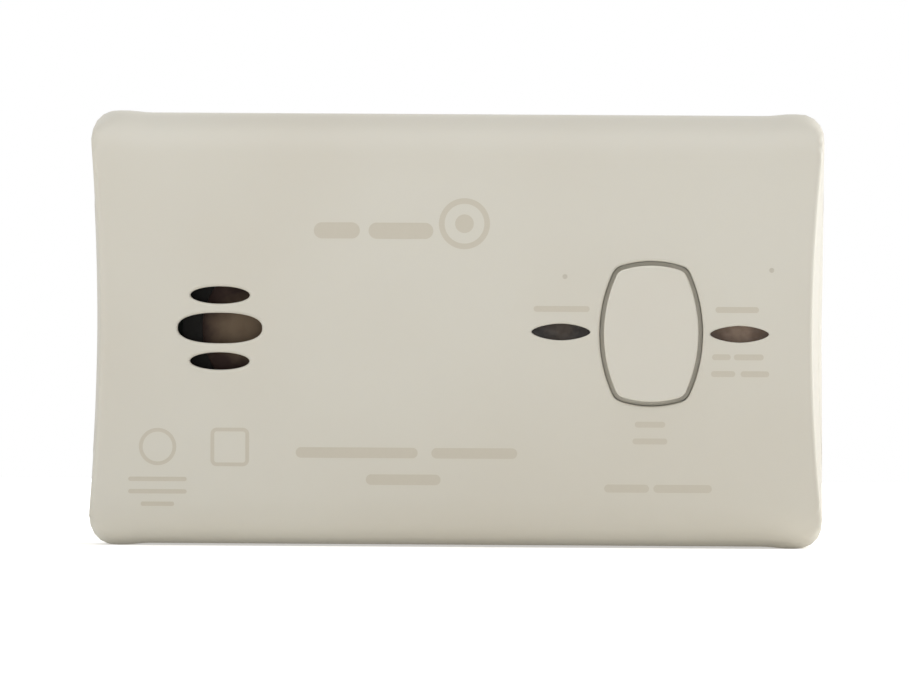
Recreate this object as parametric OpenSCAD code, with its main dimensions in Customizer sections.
/* [Case] */
// Overall width of the case
case_w = 118; // [117:0.5:122]
// Overall depth, from the button's face to the wall
case_d = 38; // [37.5:0.5:42]
// Overall height of the case
case_h = 70; // [69:0.5:76]
// Wall thickness of both covers
wall = 2.2; // [1.9:0.1:2.4]
// Thickness of the back plate and of the battery door
plate_t = 2.4; // [2.3:0.1:2.6]
// Depth of the front cover, from its face to the seam
cover_d = 23.6; // [23:0.2:25]
// Radius of the rolled edges along the top and bottom of the face
roll_r = 7.5; // [6:0.5:9]
// Radius of the face's gentle crown, seen from the side
crown_r = 300; // [250:10:500]
// Radius of the case's corners, seen from the front
corner_r = 4; // [3:0.5:5]
// Radius of the hollow in each side wall, seen from the front
waist_r = 280; // [260:10:400]
// How far each side wall pulls in at the face, at mid height
waist_in = 1.7; // [1.4:0.1:2.4]

/* [Face] */
// Width of the wide vent
vent_w = 13.6; // [12:0.2:14]
// Height of the wide vent
vent_h = 4.9; // [4:0.1:5.4]
// Width of each narrow vent
narrow_w = 9.6; // [8:0.2:10]
// Height of each narrow vent
narrow_h = 2.8; // [2.2:0.1:3]
// Distance of the vents from the case's centre
vent_x = 38; // [36:0.2:40]
// Height of a narrow vent above or below the wide one
vent_pitch = 5.3; // [4.8:0.1:6]
// Width of each lamp slot
slot_w = 9.5; // [8.5:0.1:9.5]
// Height of each lamp slot
slot_h = 2.7; // [2.2:0.1:3]
// Distance of the operate lamp from the case's centre
operate_x = 16.8; // [15.5:0.1:17]
// Distance of the alarm lamp from the case's centre
alarm_x = 45.5; // [45.3:0.1:46]
// Distance of the test button from the case's centre
button_x = 31.3; // [30.8:0.1:31.8]
// Width of the test button
button_w = 15.2; // [14:0.2:15.4]
// Height of the test button
button_h = 21.9; // [20.5:0.1:23]
// Distance between the button's corners, side to side
corner_w = 10.6; // [10:0.1:11]
// Distance between the button's corners, up and down
corner_h = 20; // [19:0.2:20]
// How far the button stands out of the face
button_proud = 0.4; // [0.2:0.1:0.6]
// How far the button travels
travel = 0.5; // [0.3:0.1:0.7]
// Gap round the button
button_gap = 0.5; // [0.3:0.05:0.6]

/* [Back] */
// Distance between the two keyholes
keyhole_pitch = 88; // [86:1:90]
// Radius of a keyhole's round entry
entry_r = 4; // [3.8:0.1:4.2]
// Width of the narrow end of a keyhole
neck_w = 4.4; // [4:0.1:4.6]
// Radius of the door's hinge pins
pin_r = 0.8; // [0.7:0.05:0.85]

/* [Hidden] */
$fn = 64;
fine = 720; // facets on the very large radii

front_y = -case_d / 2;
back_y = case_d / 2;
face_y = front_y + button_proud;
seam_y = face_y + cover_d;
plate_y = back_y - plate_t;
half_w = case_w / 2;
half_h = case_h / 2;
back_edge_r = 2.5;
vent_power = 2.4; // 2 is an ellipse, more is squarer
slot_power = 1.7; // and less is more pointed
roll_z = half_h - roll_r;
roll_y = face_y + crown_r - sqrt(pow(crown_r - roll_r, 2) - pow(roll_z, 2));
waist_back = 0.1;
waist_tilt = atan((waist_in - waist_back) / (back_y - face_y));

tongue_gap = 0.1;
tongue_t = 1;
tongue_d = 1.8;
pass = 1; // how far a cutting shape runs past what it cuts

post_x = half_w - 5.2;
post_z = half_h - 5.2;
post_r = 3.8;
post_bore_r = 1.45;
post_bore_d = 13;
screw_r = 1.4;
screw_l = 13;
screw_hole_r = 1.7;
head_r = 2.7;
head_t = 1.8;
head_hole_r = 2.9;
head_y = back_y - 7.8;
recess = [2.6, 0.6]; // the cross recess: length and width of each arm

board_w = 100;
board_h = 54;
board_t = 1.6;
board_y = face_y + 11; // the board's front side
board_back = board_y + board_t;
board_post = [45.5, 22.5];
board_post_r = 2.8;
board_bore_r = 1.05;
board_bore_d = 6.5;
board_screw_r = 1;
board_screw_l = 7;
board_hole_r = 1.25;
board_head_r = 2.1;
board_head_t = 1.5;

cell_r = 7.1;
cell_l = 49.3;
cell_nub = [2.75, 1.2]; // radius and length
cell_pitch = 15.2;
cell_rim = 1.8; // width of the rim round the flat end's recess
contact_t = 0.4;
spring_l = 5;
pad_t = 0.9;
pad_r = 2.5;
bay_half_x = (cell_l + cell_nub[1] + spring_l + pad_t + 2 * contact_t) / 2;
bay_half_z = cell_pitch + cell_r + 0.9;
bay_wall = 1.6;
bay_floor = plate_y - 16; // the floor's inner side
cell_y = bay_floor + 7.4;
rib_t = 0.7;
rib_h = 5;
rib_end = 4; // from a rib's end to the bay's wall
tab_w = 3;
tab_l = 4.2;
tab_y = bay_floor + 2.4;
tab_clear = 0.2;
lead_out = 3.3; // from the bay's wall to the middle of a lead
lead_r = 0.7;
ledge_t = 1.8;
ledge_w = 2.2; // how far the ledge reaches past the door

door_gap = 0.35;
hinge_y = back_y - 1.3;
hinge_z = bay_half_z + 2.9;
hinge_r = 1.3;
hinge_edge = 2.3; // from the hinge axis to the door's edge
hinge_gap = 0.5; // room for the door's edge to turn past the back plate
door_half_x = bay_half_x + 2;
door_top = hinge_z - hinge_edge;
door_bottom = -bay_half_z - 2;
lug_x = [door_half_x - 10.6, door_half_x - 2.6];
lug_w = lug_x[1] - lug_x[0];
lug_gap = 0.2;
notch_h = 4.2;
notch_drop = 0.5; // the notch's middle below the hinge axis
pin_l = 2.3;
pin_root = 0.5; // how far a pin is set into its lug
pin_clear = 0.05;
scoop_r = 5.5;
scoop_out = 3.2; // the scoop's centre behind the back
scoop_drop = 2; // and below the door's edge
catch_w = 14; // between the slits that free the catch
catch_l = 10.2;
catch_slit = 0.9;
nib = [8, 0.2, 0.7]; // the catch's nib: width, reach and thickness
label = [46, 30, 0.12];

keyhole_z = 10;
keyhole_run = 7;
pocket_d = 4; // room behind the plate for a screw's head
pocket_w = 9.6;
pocket_h = 16;
pocket_wall = 1.2;

sounder_x = -29;
sounder_r = 15;
sounder_h = 8;
sounder_wall = 1.5;
sounder_floor = 1.2;
sounder_bore = sounder_r - sounder_wall - 1.6;
ceramic_r = 9;
ceramic_t = 0.3;
disc_r = 13.2;
disc_t = 0.25;
disc_y = board_y - 6;

sensor_x = -41;
sensor_z = -8;
sensor_r = 9.5;
sensor_h = 15;
sensor_wall = 1.2;
sensor_top = board_back + sensor_h;
cap_t = 1;
filter_r = 5.2;
filter_t = 0.6;
filter_y = sensor_top + 0.3;
port_ring = 3; // radius of the circle of gas ports
port_r = 0.7;
pin_ring = 6;
sensor_pin_r = 0.5;
sensor_angles = [90, 210, 330];

chip_z = 12;
chip_size = [13, 7.5];
chip_t = 2.3;
chip_pitch = 1.27;
chip_legs = 10;
chip_leg = [0.45, 1.5, 0.4]; // width, length and thickness
crystal_size = [11, 4.6];
crystal_t = 3.5;
crystal_z = -6;
crystal_r = 2.2;
capacitor_x = 41;
capacitor_z = 5;
capacitor_r = 4;
capacitor_l = 11;
inductor_at = [40.5, -16];
inductor_rim = [4.5, 1.5]; // radius and thickness
inductor_waist = [2.2, 5];
winding_r = 3.9;
transistor_x = 33;
transistor_z = [16, 20.5, 25];
transistor_size = [4.5, 2.5];
transistor_t = 1.5;
chip_row = [-8:4:8];
resistor_z = [-14, -17.5];
resistor_t = 0.55;
ceramic_chip_z = -21;
ceramic_chip_t = 1;
chip_body = [2, 1.25];

wire_r = 0.4;
coil_turns = 4;
coil_steps = 14; // rings in each turn
coil_sides = 8;
coil_r = [4.6, 2.8]; // at the contact and at the cell
coil_clear = 0.02;
contact_reach = 6; // half the height of a contact's plate round a cell

switch_w = 6;
switch_h = 3.5;
switch_z = -0.5;
switch_plate_t = 0.3;
leg_l = 0.8;
leg_w = 0.7;
leg_z = 2.2;
plunger_r = 1.75;
plunger_l = 3;
plunger_y = board_y - 5.3; // the plunger's tip
plunger_room = plunger_y + plunger_l + travel + 0.2; // where the switch's bore ends

flange_out = 0.8; // how far the button's flange reaches past its face
flange_t = 1;
flange_y = face_y + wall + 0.3;
guide_clear = 0.3;
guide_t = 1.1;
guide_y = face_y + 5;
button_wall = 1.5;
button_top = 1.8;
stem_r = 2.2;
stem_gap = 0.05;

lamp_r = 2.5;
lamp_l = 5; // from the board to the middle of the dome
lamp_rim = [0.35, 1]; // the rim's reach and thickness
lamp_z = [-0.3, -0.5];
lamp_places = [[operate_x, lamp_z[0]], [alarm_x, lamp_z[1]]];
lamp_pitch = 2.54;
lead_hole_r = 0.4;
lamp_leg_r = 0.35;
well = [9.8, 5.8]; // inside of the wall round each lamp
well_t = 1;
well_end = board_y - 3.6;
well_floor = 1;
well_clear = 0.2; // between a lamp and the hole in its well's floor
window_t = 0.9;
window_clear = 0.05; // round a window, and between it and the face

// Extrudes an outline drawn in X and height along Y; height 0 is the middle of the case
module along_y(y0, y1)
    translate([0, y1, half_h]) rotate([90, 0, 0]) linear_extrude(y1 - y0) children();

// Extrudes an outline drawn in Y and height along X
module along_x(x0, x1)
    translate([x0, 0, half_h]) rotate([90, 0, 90]) linear_extrude(x1 - x0) children();

module rod_y(x, z, y0, y1, r)
    translate([x, y1, half_h + z]) rotate([90, 0, 0]) cylinder(h = y1 - y0, r = r);

module rod_x(x0, x1, y, z, r)
    translate([x0, y, half_h + z]) rotate([0, 90, 0]) cylinder(h = x1 - x0, r = r);

module block(x0, x1, y0, y1, z0, z1)
    translate([x0, y0, half_h + z0]) cube([x1 - x0, y1 - y0, z1 - z0]);

// A block by its middle in X and height, its size, and its two depths
module pad(x, z, w, h, y0, y1)
    block(x - w / 2, x + w / 2, y0, y1, z - h / 2, z + h / 2);

module rounded_rect(w, h, r) {
    square([w - 2 * r, h], center = true);
    square([w, h - 2 * r], center = true);
    for (x = [-1, 1], y = [-1, 1])
        translate([x * (w / 2 - r), y * (h / 2 - r)]) circle(r);
}

// The case seen from the side, inset by t: a crowned face with rolled edges
module side_profile(t, back, edge) {
    tangent_z = roll_z * (crown_r - t) / (crown_r - roll_r);
    translate([roll_y, t - half_h]) square([back - edge - roll_y, 2 * (half_h - t)]);
    translate([back - edge - 1, t + edge - half_h]) square([edge + 1, 2 * (half_h - t - edge)]);
    for (s = [-1, 1]) {
        translate([roll_y, s * roll_z]) circle(roll_r - t);
        if (edge > 0) translate([back - edge, s * (half_h - t - edge)]) circle(edge);
    }
    intersection() {
        translate([face_y + crown_r, 0]) circle(crown_r - t, $fn = fine);
        translate([face_y - 1, -tangent_z]) square([roll_y - face_y + 2, 2 * tangent_z]);
    }
}

// Two large leaning cylinders that hollow the side walls, more towards the face
module waist_cutters(t)
    for (s = [-1, 1])
        translate([s * (half_w - waist_in), face_y, half_h]) rotate([0, 0, -s * waist_tilt])
            translate([s * waist_r, 0, 0]) rotate([90, 0, 0])
                cylinder(h = 3 * case_d, r = waist_r + t, center = true, $fn = fine);

// The case as a solid block, inset by t, reaching back to a plane
module case_form(t, back, edge)
    difference() {
        intersection() {
            along_y(front_y, back_y) rounded_rect(case_w - 2 * t, case_h - 2 * t, corner_r - t);
            along_x(-half_w, half_w) side_profile(t, back, edge);
        }
        waist_cutters(t);
    }

module outer_form() case_form(0, back_y, back_edge_r);

module cavity(t) case_form(t, plate_y, 0);

module slice(y0, y1)
    intersection() {
        children();
        block(-half_w - 1, half_w + 1, y0, y1, -half_h - 1, half_h + 1);
    }

function super_point(a, size, n) = [
    size[0] / 2 * sign(cos(a)) * pow(abs(cos(a)), 2 / n),
    size[1] / 2 * sign(sin(a)) * pow(abs(sin(a)), 2 / n)];

// A closed oval of width and height size: the powers n of its two shares add up to one
module super_oval(size, n, steps = 48)
    polygon([for (i = [0:steps - 1]) super_point(i * 360 / steps, size, n)]);

// Radius of an arc from the length of its chord and how far it bows
function arc_r(chord, bow) = (pow(chord / 2, 2) + pow(bow, 2)) / (2 * bow);

// The button seen from the front: four bowed sides, grown by t
module button_outline(t) {
    side_r = arc_r(corner_h, (button_w - corner_w) / 2);
    end_r = arc_r(corner_w, (button_h - corner_h) / 2);
    intersection() {
        intersection_for (s = [-1, 1])
            translate([s * (side_r - button_w / 2), 0]) circle(side_r + t, $fn = fine);
        intersection_for (s = [-1, 1])
            translate([0, s * (end_r - button_h / 2)]) circle(end_r + t, $fn = fine);
    }
}

module at_button() translate([button_x, switch_z]) children();

module face_openings() {
    y0 = face_y - pass;
    y1 = face_y + wall + pass;
    along_y(y0, y1) translate([-vent_x, 0]) super_oval([vent_w, vent_h], vent_power);
    for (s = [-1, 1])
        along_y(y0, y1) translate([-vent_x, s * vent_pitch]) super_oval([narrow_w, narrow_h], 2);
    for (p = lamp_places)
        along_y(y0, y1) translate(p) super_oval([slot_w, slot_h], slot_power);
    along_y(y0, y1) at_button() button_outline(button_gap);
}

// Walls behind the face: a box round each lamp and a guide round the button's flange
module face_walls() {
    y0 = face_y + wall / 2;
    difference() {
        union() {
            for (p = lamp_places)
                pad(p[0], p[1], well[0] + 2 * well_t, well[1] + 2 * well_t, y0, well_end);
            along_y(y0, guide_y) at_button() button_outline(flange_out + guide_clear + guide_t);
        }
        for (p = lamp_places) {
            pad(p[0], p[1], well[0], well[1], face_y, well_end - well_floor);
            rod_y(p[0], p[1], face_y, board_y, lamp_r + well_clear);
        }
        along_y(face_y, board_y) at_button() button_outline(flange_out + guide_clear);
    }
}

module case_posts(y0, y1, r)
    for (x = [-1, 1], z = [-1, 1])
        rod_y(x * post_x, z * post_z, y0, y1, r);

module board_posts(y0, y1, r)
    for (x = [-1, 1], z = [-1, 1])
        rod_y(x * board_post[0], z * board_post[1], y0, y1, r);

module front_cover() color("linen")
    difference() {
        union() {
            difference() {
                slice(front_y, seam_y) outer_form();
                cavity(wall);
            }
            intersection() {
                cavity(wall / 2);
                union() {
                    case_posts(face_y, seam_y, post_r);
                    board_posts(face_y, board_y, board_post_r);
                    face_walls();
                }
            }
        }
        case_posts(seam_y - post_bore_d, seam_y + pass, post_bore_r);
        board_posts(board_y - board_bore_d, board_y + pass, board_bore_r);
        face_openings();
    }

// The step on the rear cover that seats inside the front cover
module seam_tongue()
    difference() {
        union() {
            slice(seam_y - tongue_d, seam_y + 0.5) cavity(wall + tongue_gap);
            slice(seam_y, seam_y + 1.5) cavity(wall - 0.5);
        }
        cavity(wall + tongue_gap + tongue_t);
        case_posts(seam_y - tongue_d - pass, seam_y, post_r + 2 * tongue_gap);
    }

module battery_bay()
    block(-bay_half_x - bay_wall, bay_half_x + bay_wall, bay_floor - bay_wall, plate_y,
        -bay_half_z - bay_wall, bay_half_z + bay_wall);

module bay_inside() {
    block(-bay_half_x, bay_half_x, bay_floor, back_y + pass, -bay_half_z, bay_half_z);
    for (s = [-1, 1]) // slits for the soldering tabs
        pad(s * (bay_half_x + bay_wall / 2), s * cell_pitch, bay_wall + 2 * pass, tab_w + 2 * tab_clear,
            tab_y - tab_clear, tab_y + contact_t + tab_clear);
}

// Low ribs that keep the cells apart
module bay_ribs()
    for (s = [-1, 1])
        pad(0, s * cell_pitch / 2, 2 * (bay_half_x - rib_end), rib_t, bay_floor - bay_wall / 2,
            bay_floor + rib_h);

module door_seat() {
    block(-door_half_x - door_gap, door_half_x + door_gap, plate_y, back_y + pass,
        door_bottom - door_gap, door_top + hinge_gap);
    for (s = [-1, 1]) {
        pad(s * (lug_x[0] + lug_x[1]) / 2, hinge_z - notch_drop, lug_w + 2 * lug_gap, notch_h,
            hinge_y - hinge_r - 0.3, back_y + pass);
        x0 = s > 0 ? lug_x[1] : -lug_x[1] - pin_l - 2 * lug_gap;
        rod_x(x0, x0 + pin_l + 2 * lug_gap, hinge_y, hinge_z, pin_r + pin_clear);
    }
    // a scoop for a finger nail under the door's lower edge
    translate([0, back_y + scoop_out, half_h + door_bottom - scoop_drop]) sphere(scoop_r);
}

module ledge_frame()
    block(-door_half_x - ledge_w, door_half_x + ledge_w, plate_y - ledge_t, plate_y + plate_t / 2,
        door_bottom - ledge_w, hinge_z + hinge_r + ledge_t);

module keyhole(x) {
    rod_y(x, keyhole_z, plate_y - pocket_d, back_y + pass, entry_r);
    rod_y(x, keyhole_z + keyhole_run, plate_y - pass, back_y + pass, neck_w / 2);
    pad(x, keyhole_z + keyhole_run / 2, neck_w, keyhole_run, plate_y - pass, back_y + pass);
    pad(x, keyhole_z + keyhole_run / 2, pocket_w, pocket_h, plate_y - pocket_d, plate_y);
}

module keyhole_pocket(x)
    pad(x, keyhole_z + keyhole_run / 2, pocket_w + 2 * pocket_wall, pocket_h + 2 * pocket_wall,
        plate_y - pocket_d - 1, plate_y + plate_t / 2);

module rear_cover() color("linen") {
    difference() {
        union() {
            difference() {
                slice(seam_y, back_y + pass) outer_form();
                cavity(wall);
            }
            intersection() {
                outer_form();
                case_posts(seam_y, plate_y + plate_t / 2, post_r);
            }
            seam_tongue();
            battery_bay();
            ledge_frame();
            for (s = [-1, 1]) keyhole_pocket(s * keyhole_pitch / 2);
        }
        bay_inside();
        door_seat();
        for (s = [-1, 1]) keyhole(s * keyhole_pitch / 2);
        case_posts(seam_y - pass, back_y, screw_hole_r);
        case_posts(head_y - head_t, back_y + pass, head_hole_r);
    }
    bay_ribs();
}

module battery_door() color("linen")
    difference() {
        union() {
            block(-door_half_x, door_half_x, plate_y, back_y, door_bottom, door_top);
            for (s = [-1, 1]) {
                x0 = s > 0 ? lug_x[0] : -lug_x[1];
                block(x0, x0 + lug_w, plate_y, back_y, door_top - 1, hinge_z);
                rod_x(x0, x0 + lug_w, hinge_y, hinge_z, hinge_r);
                x1 = s > 0 ? lug_x[1] - pin_root : -lug_x[1] - pin_l + pin_root;
                rod_x(x1, x1 + pin_l, hinge_y, hinge_z, pin_r);
            }
            pad(0, door_bottom - nib[1] / 2, nib[0], nib[1], plate_y + 0.5, plate_y + 0.5 + nib[2]);
        }
        pad(0, 0, label[0], label[1], back_y - label[2], back_y + pass);
        for (s = [-1, 1]) // slits that free the springy catch
            pad(s * catch_w / 2, door_bottom + catch_l / 2, catch_slit, catch_l + 0.2, plate_y - pass,
                back_y + pass);
    }

module rating_label() color("whitesmoke")
    pad(0, 0, label[0], label[1], back_y - label[2], back_y);

module test_button() color("linen") {
    difference() {
        union() {
            along_y(front_y, flange_y + flange_t) at_button() button_outline(0);
            along_y(flange_y, flange_y + flange_t) at_button() button_outline(flange_out);
        }
        along_y(front_y + button_top, flange_y + flange_t + pass) at_button()
            button_outline(-button_wall);
    }
    rod_y(button_x, switch_z, front_y + button_top / 2, plunger_y - stem_gap, stem_r);
}

module switch_body() color("dimgray")
    difference() {
        pad(button_x, switch_z, switch_w, switch_w, board_y - switch_h, board_y);
        rod_y(button_x, switch_z, board_y - switch_h - pass, plunger_room, plunger_r + pin_clear);
    }

module switch_plate() color("silver")
    difference() {
        pad(button_x, switch_z, switch_w, switch_w, board_y - switch_h - switch_plate_t,
            board_y - switch_h);
        rod_y(button_x, switch_z, board_y - switch_h - pass, board_y, plunger_r + 2 * pin_clear);
    }

module switch_legs() color("silver")
    for (x = [-1, 1], z = [-1, 1])
        pad(button_x + x * (switch_w + leg_l) / 2, switch_z + z * leg_z, leg_l, leg_w,
            board_y - switch_plate_t, board_y);

module switch_plunger() color("black")
    rod_y(button_x, switch_z, plunger_y, plunger_y + plunger_l, plunger_r);

module circuit_board() color("darkgreen")
    difference() {
        pad(0, 0, board_w, board_h, board_y, board_back);
        board_posts(board_y - pass, board_back + pass, board_hole_r);
        for (a = sensor_angles)
            rod_y(sensor_x + pin_ring * cos(a), sensor_z + pin_ring * sin(a), board_y - pass,
                board_back + pass, sensor_pin_r + 0.1);
        for (p = lamp_places, s = [-1, 1])
            rod_y(p[0] + s * lamp_pitch / 2, p[1], board_y - pass, board_back + pass, lead_hole_r);
    }

module lamp(p) {
    tip = board_y - lamp_l;
    rod_y(p[0], p[1], board_y - lamp_rim[1], board_y, lamp_r + lamp_rim[0]);
    rod_y(p[0], p[1], tip, board_y, lamp_r);
    translate([p[0], tip, half_h + p[1]]) sphere(lamp_r);
}

module lamp_operate() color("palegreen", 0.8) lamp(lamp_places[0]);

module lamp_alarm() color("mistyrose", 0.8) lamp(lamp_places[1]);

module lamp_legs() color("silver")
    for (p = lamp_places, s = [-1, 1])
        rod_y(p[0] + s * lamp_pitch / 2, p[1], board_y, board_back + 1.2, lamp_leg_r);

// A tinted window lies against the back of the face, between a lamp slot and its lamp
module window(p) {
    front = face_y + wall + window_clear;
    pad(p[0], p[1], well[0] - 2 * window_clear, well[1] - 2 * window_clear, front, front + window_t);
}

module window_operate() color("dimgray", 0.8) window(lamp_places[0]);

module window_alarm() color("rosybrown", 0.8) window(lamp_places[1]);

module sounder_housing() color("black")
    difference() {
        rod_y(sounder_x, 0, board_y - sounder_h, board_y, sounder_r);
        rod_y(sounder_x, 0, board_y - sounder_h - pass, disc_y, sounder_r - sounder_wall);
        rod_y(sounder_x, 0, disc_y - pass, board_y - sounder_floor, sounder_bore);
    }

module sounder_ring() color("black")
    difference() {
        rod_y(sounder_x, 0, board_y - sounder_h, disc_y - disc_t, sounder_r - sounder_wall);
        rod_y(sounder_x, 0, board_y - sounder_h - pass, disc_y, sounder_bore);
    }

module sounder_disc() color("goldenrod")
    rod_y(sounder_x, 0, disc_y - disc_t, disc_y, disc_r);

module sounder_ceramic() color("gainsboro")
    rod_y(sounder_x, 0, disc_y, disc_y + ceramic_t, ceramic_r);

module sensor_can() color("gainsboro")
    difference() {
        rod_y(sensor_x, sensor_z, board_back, sensor_top, sensor_r);
        rod_y(sensor_x, sensor_z, sensor_top - cap_t, sensor_top + pass, sensor_r - sensor_wall);
    }

module sensor_cap() color("dimgray")
    difference() {
        rod_y(sensor_x, sensor_z, sensor_top - cap_t, sensor_top + cap_t, sensor_r - sensor_wall);
        rod_y(sensor_x, sensor_z, filter_y, sensor_top + cap_t + pass, filter_r);
        for (a = [0:60:300])
            rod_y(sensor_x + port_ring * cos(a), sensor_z + port_ring * sin(a),
                sensor_top - cap_t - pass, sensor_top + cap_t, port_r);
    }

module sensor_filter() color("white")
    rod_y(sensor_x, sensor_z, filter_y, filter_y + filter_t, filter_r);

module sensor_pins() color("gold")
    for (a = sensor_angles)
        rod_y(sensor_x + pin_ring * cos(a), sensor_z + pin_ring * sin(a), board_y, board_back,
            sensor_pin_r);

module microcontroller() color("black")
    pad(0, chip_z, chip_size[0], chip_size[1], board_y - 0.1 - chip_t, board_y - 0.1);

module microcontroller_legs() color("silver")
    for (i = [0:chip_legs - 1], s = [-1, 1])
        pad(chip_pitch * (i - (chip_legs - 1) / 2), chip_z + s * (chip_size[1] + chip_leg[1]) / 2,
            chip_leg[0], chip_leg[1], board_y - chip_leg[2], board_y);

module crystal() color("silver")
    along_y(board_y - crystal_t, board_y) translate([0, crystal_z])
        rounded_rect(crystal_size[0], crystal_size[1], crystal_r);

module electrolytic_capacitors() color("midnightblue")
    for (s = [-1, 1])
        rod_y(capacitor_x, s * capacitor_z, board_back, board_back + capacitor_l, capacitor_r);

module inductor_core() color("darkslategray") {
    y0 = board_back + inductor_rim[1];
    y1 = y0 + inductor_waist[1];
    rod_y(inductor_at[0], inductor_at[1], board_back, y0, inductor_rim[0]);
    rod_y(inductor_at[0], inductor_at[1], y0, y1, inductor_waist[0]);
    rod_y(inductor_at[0], inductor_at[1], y1, y1 + inductor_rim[1], inductor_rim[0]);
}

module inductor_winding() color("peru")
    difference() {
        y0 = board_back + inductor_rim[1];
        rod_y(inductor_at[0], inductor_at[1], y0, y0 + inductor_waist[1], winding_r);
        rod_y(inductor_at[0], inductor_at[1], board_back, y0 + inductor_waist[1] + pass,
            inductor_waist[0]);
    }

module transistors() color("black")
    for (z = transistor_z)
        pad(transistor_x, z, transistor_size[0], transistor_size[1], board_y - transistor_t, board_y);

module chip_resistors() color("black")
    for (x = chip_row, z = resistor_z)
        pad(x, z, chip_body[0], chip_body[1], board_y - resistor_t, board_y);

module chip_capacitors() color("tan")
    for (x = chip_row)
        pad(x, ceramic_chip_z, chip_body[0], chip_body[1], board_y - ceramic_chip_t, board_y);

// A cell lying along X; its positive end faces right when s is 1
module cell(z, s) {
    flat = -s * (bay_half_x - contact_t - spring_l);
    shoulder = flat + s * cell_l;
    tip = shoulder + s * cell_nub[1];
    difference() {
        rod_x(min(flat, shoulder), max(flat, shoulder), cell_y, z, cell_r);
        rod_x(min(flat - s, flat + s * 0.3), max(flat - s, flat + s * 0.3), cell_y, z,
            cell_r - cell_rim);
    }
    rod_x(min(shoulder, tip), max(shoulder, tip), cell_y, z, cell_nub[0]);
}

module battery_1() color("steelblue") cell(cell_pitch, 1);

module battery_2() color("steelblue") cell(0, -1);

module battery_3() color("steelblue") cell(-cell_pitch, 1);

// Point j of the wire's ring number i; the coil's axis is Z and its wide end is at 0
function coil_point(i, j) =
    let (f = i / (coil_turns * coil_steps), a = i * 360 / coil_steps, b = j * 360 / coil_sides)
    let (r = coil_r[0] + (coil_r[1] - coil_r[0]) * f + wire_r * cos(b))
    let (rise = wire_r + coil_clear + f * (spring_l - 2 * (wire_r + coil_clear)))
    [r * cos(a), r * sin(a), rise + wire_r * sin(b)];

module coil() {
    last = coil_turns * coil_steps;
    polyhedron(
        points = [for (i = [0:last], j = [0:coil_sides - 1]) coil_point(i, j)],
        faces = concat(
            [[for (j = [0:coil_sides - 1]) j]],
            [[for (j = [coil_sides - 1:-1:0]) last * coil_sides + j]],
            [for (i = [0:last - 1], j = [0:coil_sides - 1])
                [i * coil_sides + j, (i + 1) * coil_sides + j,
                    (i + 1) * coil_sides + (j + 1) % coil_sides, i * coil_sides + (j + 1) % coil_sides]]));
}

module battery_springs() color("silver")
    for (i = [0:2]) {
        s = i == 1 ? 1 : -1;
        translate([s * (bay_half_x - contact_t), cell_y, half_h + (1 - i) * cell_pitch])
            rotate([0, -s * 90, 0]) coil();
    }

// A flat contact against the bay's end wall; pad_z is where the positive end of a cell touches it
module contact(s, z0, z1, pad_z) {
    x0 = s > 0 ? bay_half_x - contact_t : -bay_half_x;
    block(x0, x0 + contact_t, cell_y - contact_reach, cell_y + contact_reach, z0 - contact_reach,
        z1 + contact_reach);
    x1 = s > 0 ? bay_half_x - contact_t - pad_t : -bay_half_x + contact_t;
    if (pad_z != undef) rod_x(x1, x1 + pad_t, cell_y, pad_z, pad_r);
}

// The tab that passes through the bay's wall to its lead
module contact_tab(s) {
    x0 = s > 0 ? bay_half_x : -bay_half_x - tab_l;
    block(x0, x0 + tab_l, tab_y, tab_y + contact_t, s * cell_pitch - tab_w / 2,
        s * cell_pitch + tab_w / 2);
}

module contact_link_left() color("silver") contact(-1, 0, cell_pitch, 0);

module contact_link_right() color("silver") contact(1, -cell_pitch, 0, -cell_pitch);

module contact_positive() color("silver") {
    contact(1, cell_pitch, cell_pitch, cell_pitch);
    contact_tab(1);
}

module contact_negative() color("silver") {
    contact(-1, -cell_pitch, -cell_pitch, undef);
    contact_tab(-1);
}

module lead(s) rod_y(s * (bay_half_x + lead_out), s * cell_pitch, board_back, tab_y, lead_r);

module lead_red() color("red") lead(1);

module lead_black() color("black") lead(-1);

module screw(x, z, y, shank_r, shank_l, r, t) {
    rod_y(x, z, y - shank_l, y, shank_r);
    difference() {
        rod_y(x, z, y, y + t, r);
        for (a = [0, 90])
            translate([x, y + t, half_h + z]) rotate([0, a, 0])
                cube([recess[0], t, recess[1]], center = true);
    }
}

module case_screws() color("silver")
    for (x = [-1, 1], z = [-1, 1])
        screw(x * post_x, z * post_z, head_y - head_t, screw_r, screw_l, head_r, head_t);

module board_screws() color("silver")
    for (x = [-1, 1], z = [-1, 1])
        screw(x * board_post[0], z * board_post[1], board_back, board_screw_r, board_screw_l,
            board_head_r, board_head_t);

front_cover();
rear_cover();
battery_door();
rating_label();
test_button();
switch_body();
switch_plate();
switch_legs();
switch_plunger();
circuit_board();
lamp_operate();
lamp_alarm();
lamp_legs();
window_operate();
window_alarm();
sounder_housing();
sounder_ring();
sounder_disc();
sounder_ceramic();
sensor_can();
sensor_cap();
sensor_filter();
sensor_pins();
microcontroller();
microcontroller_legs();
crystal();
electrolytic_capacitors();
inductor_core();
inductor_winding();
transistors();
chip_resistors();
chip_capacitors();
battery_1();
battery_2();
battery_3();
battery_springs();
contact_link_left();
contact_link_right();
contact_positive();
contact_negative();
lead_red();
lead_black();
case_screws();
board_screws();
